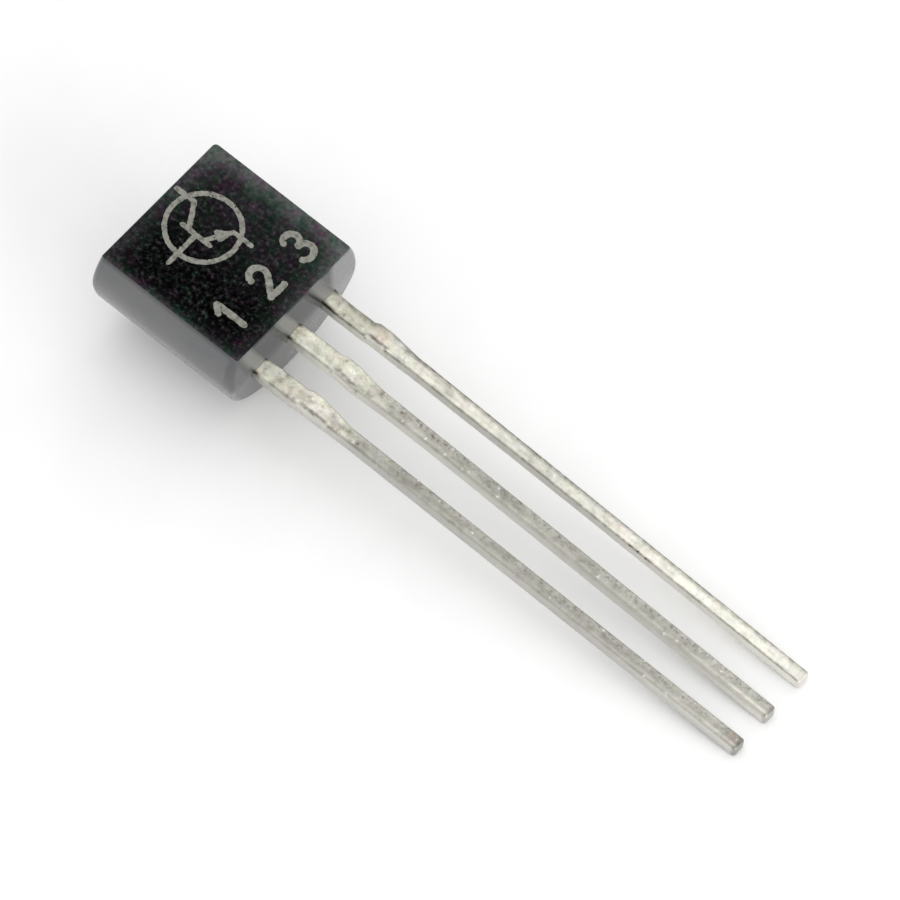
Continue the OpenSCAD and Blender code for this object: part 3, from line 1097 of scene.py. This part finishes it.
    def streaky_at(self, p):
        """Drawing streaks: on the front only, most just past the taper."""
        along = level(p.x - LEAD_END, [(1.6, 0), (2.6, 1), (5, 0.4)])
        return along * (1 - 0.9 * self.on_side(p))

    # painted glints at listed places on the front
    def painted_glint_at(self, p):
        return 0.8 * self.spot_at(p, "shine")

    def copper_at(self, p):
        return 0.7 * self.spot_at(p, "copper")

    def make(self):
        lead = self.shape()
        levels = {"tone": self.light_and_tone_at, "grime": self.grime_and_shade_at, "polished": self.polished_at,
                  "specked": self.specked_at, "streaky": self.streaky_at, "shine": self.painted_glint_at,
                  "copper": self.copper_at}
        for name, value_at in levels.items():
            paint(lead, name, value_at)
        tin("tin_" + self.name, lead.data)
        finish_piece(lead, "tinned_lead", self.node)


# How each lead looks, with places as distance out from the body or across from the strip's middle:
# front and side: painted light and shade along the lead, as its brightness; tip: how much darker the
# last of it is bands of painted highlight and shade along the front: place across, half width and
# strength along
# line: painted shade as a dark line on the +Y (1) and -Y (-1) edge, as full reach, last reach and
# strength along
# root: reach of the painted shade at the root on those edges; roll_end: where the roll ends, past the
# stub's middle
# edge_r: rounding of the front's -Y and +Y edges
# fuller: width beyond the others' on those edges along the lead
# copper and pits: bare and dark spots; and spots of painted glint; each as distance out, place across
# and size
LEFT_LOOK = {
    "front": [(0, 1.1), (0.3, 0.83), (0.6, 0.58), (1.4, 0.6), (1.7, 0.74), (2.1, 0.76), (2.6, 0.64),
              (3.2, 0.45), (5, 0.41), (7, 0.44), (9, 0.42), (11, 0.44), (13, 0.49), (14.3, 0.49),
              (14.6, 0.4)],
    "side": [(0, 0.6), (0.4, 0.58), (0.9, 0.66), (1.6, 0.72), (3, 0.58), (5, 0.53), (8, 0.6),
             (10, 0.57), (13, 0.7), (14.5, 0.72)],
    "tip": 0.42,
    "light_and_shade_bands": [(0.0, 0.08, [(1.6, -0.05), (2.4, -0.14), (10, -0.1)]),
              (-0.09, 0.04, [(1.8, 0), (4, 0.04), (13.9, 0.12), (14.2, 0.5)]),
              (-0.2, 0.05, [(3, 0.05), (4, 0.3), (14, 0.35)])],
    "line": {1: (0.028, 0.068, [(0, 0.15), (1.2, 0.22), (3, 0.08), (5, 0.04)]),
             -1: (0.028, 0.068, [(0, 0.42), (1.2, 0.55), (2.6, 0.65), (3.3, 0.25), (4.5, 0)])},
    "root": {1: 0.08, -1: 0.15},
    "roll_end": 0.5,
    "fuller": {1: [(0.04, 0), (0.4, 0.05), (1.2, 0.045), (2.0, 0.03), (2.7, 0)], -1: [(0, 0)]},
    "edge_r": (0.09, 0.05),
    "specks": 0.8,
    "copper": [(0.0, -0.15, 0.17), (1.0, -0.1, 0.07), (2.5, -0.1, 0.08), (12.72, -0.12, 0.05),
               (14.6, 0.05, 0.17)],
    "pits": [(3.1, -0.06, 0.04), (2.6, -0.12, 0.02), (13.1, 0.05, 0.025)],
    "shine": [(2.05, -0.24, 0.03), (3.0, -0.11, 0.025), (9.1, -0.08, 0.02), (12.05, -0.14, 0.03),
              (12.72, -0.14, 0.025)],
}
MIDDLE_LOOK = {
    "front": [(0, 1.1), (0.3, 0.88), (0.6, 0.68), (1.2, 0.63), (1.6, 0.66), (2.1, 0.7), (2.6, 0.57),
              (3.5, 0.52), (4.2, 0.45), (5, 0.42), (7, 0.45), (9, 0.45), (11, 0.49), (13, 0.54),
              (14.5, 0.53)],
    "side": [(0, 0.8), (0.6, 0.95), (1.6, 0.9), (3, 0.75), (6, 0.72), (10, 0.72), (13, 0.76),
             (14.5, 0.85)],
    "tip": 0.35,
    "light_and_shade_bands": [(0.0, 0.09, [(2, -0.02), (6, -0.08)]),
              (-0.09, 0.035, [(1.8, 0), (2.4, 0.15), (10, 0.14), (13, 0.1), (14.2, 0.4)]),
              (-0.19, 0.05, [(3, 0.1), (4.5, 0.28)])],
    "line": {1: (0.028, 0.068, [(0, 0.12), (2, 0), (3, 0.1), (4.5, 0)]),
             -1: (0.028, 0.068, [(0, 0.4), (1.2, 0.28), (2.5, 0.2), (4, 0.15), (6, 0)])},
    "root": {1: 0.08, -1: 0.15},
    "roll_end": 0.45,
    "fuller": {1: [(0.04, 0), (0.4, 0.035), (1.2, 0.03), (2.4, 0)],
               -1: [(1.6, 0), (2.0, 0.04), (2.6, 0.04), (3.2, 0.02), (4.5, 0)]},
    "edge_r": (0.09, 0.05),
    "specks": 1.0,
    "copper": [(0.1, 0.1, 0.1), (3.35, 0.0, 0.06), (4.28, 0.08, 0.05)],
    "pits": [(3.35, 0.03, 0.03), (3.74, 0.12, 0.035), (3.9, 0.1, 0.025), (4.28, 0.06, 0.03),
             (4.67, 0.1, 0.025)],
    "shine": [(3.5, -0.13, 0.02), (4.82, -0.11, 0.025), (5.39, -0.12, 0.02), (9.58, -0.08, 0.03),
              (11.7, -0.14, 0.03), (12.04, -0.09, 0.03), (13.34, 0.02, 0.025)],
}
RIGHT_LOOK = {
    "front": [(0, 1.05), (0.3, 0.8), (0.6, 0.6), (0.9, 0.57), (1.3, 0.57), (1.7, 0.74), (2.4, 0.74),
              (3.2, 0.8), (5, 0.75), (7, 0.67), (9, 0.87), (11, 0.89), (13, 0.92), (14.5, 0.87)],
    "side": [(0, 0.7), (0.4, 1.05), (0.8, 0.98), (1.6, 0.92), (3, 0.68), (5, 0.64), (8, 0.64),
             (10, 0.8), (12, 0.82), (14.5, 0.92)],
    "tip": 0.08,
    "light_and_shade_bands": [(0.25, 0.22, [(0.3, -0.37), (1.4, -0.35), (2.2, -0.1), (3, 0)])],
    "line": {1: (0.05, 0.17, [(0, 0.1), (1.4, 0.2), (2.2, 0.42), (3, 0.75), (6, 0.65), (14, 0.62)]),
             -1: (0.028, 0.068, [(0, 0.5), (9.1, 0.48), (9.4, 0.68), (10.2, 0.68), (10.4, 0.48)])},
    "root": {1: 0.13, -1: 0.4},
    "roll_end": 0.32,
    "fuller": {1: [(0.04, 0), (0.3, -0.025), (1.3, -0.02), (2, 0)],
               -1: [(0.04, 0), (0.4, 0.02), (1.8, 0.015), (2.4, 0.04), (4, 0.035), (6, 0.01), (8, 0)]},
    "edge_r": (0.04, 0.09),
    "specks": 0.4,
    "copper": [(1.6, 0.05, 0.24), (0.0, -0.2, 0.08), (9.08, 0.0, 0.08), (10.0, -0.12, 0.1)],
    "pits": [(9.6, -0.18, 0.015), (9.85, -0.17, 0.02), (10.1, -0.19, 0.015)],
    "shine": [(2.02, -0.2, 0.03)],
}


# ----- The whole scene -----

make_world()
make_camera()
make_floor()
make_light("top", place=(-40, 100, 230), size=250, watts=0.08)
make_light("front", place=(210, -30, 70), size=160, watts=0.22)
make_body()
make_marking()
Lead("lead_left", "emitter_lead", y=-PITCH, splay=0.5, seed=31, look=LEFT_LOOK).make()
Lead("lead_middle", "base_lead", y=0, splay=-0.05, seed=47, look=MIDDLE_LOOK).make()
Lead("lead_right", "collector_lead", y=PITCH, splay=-0.1, seed=59, look=RIGHT_LOOK).make()
silicon("silicon_die")
silver_adhesive("die_attach")
gold_wire("base_bond_wire")
gold_wire("emitter_bond_wire")
bpy.context.scene.view_settings.view_transform = "Standard"
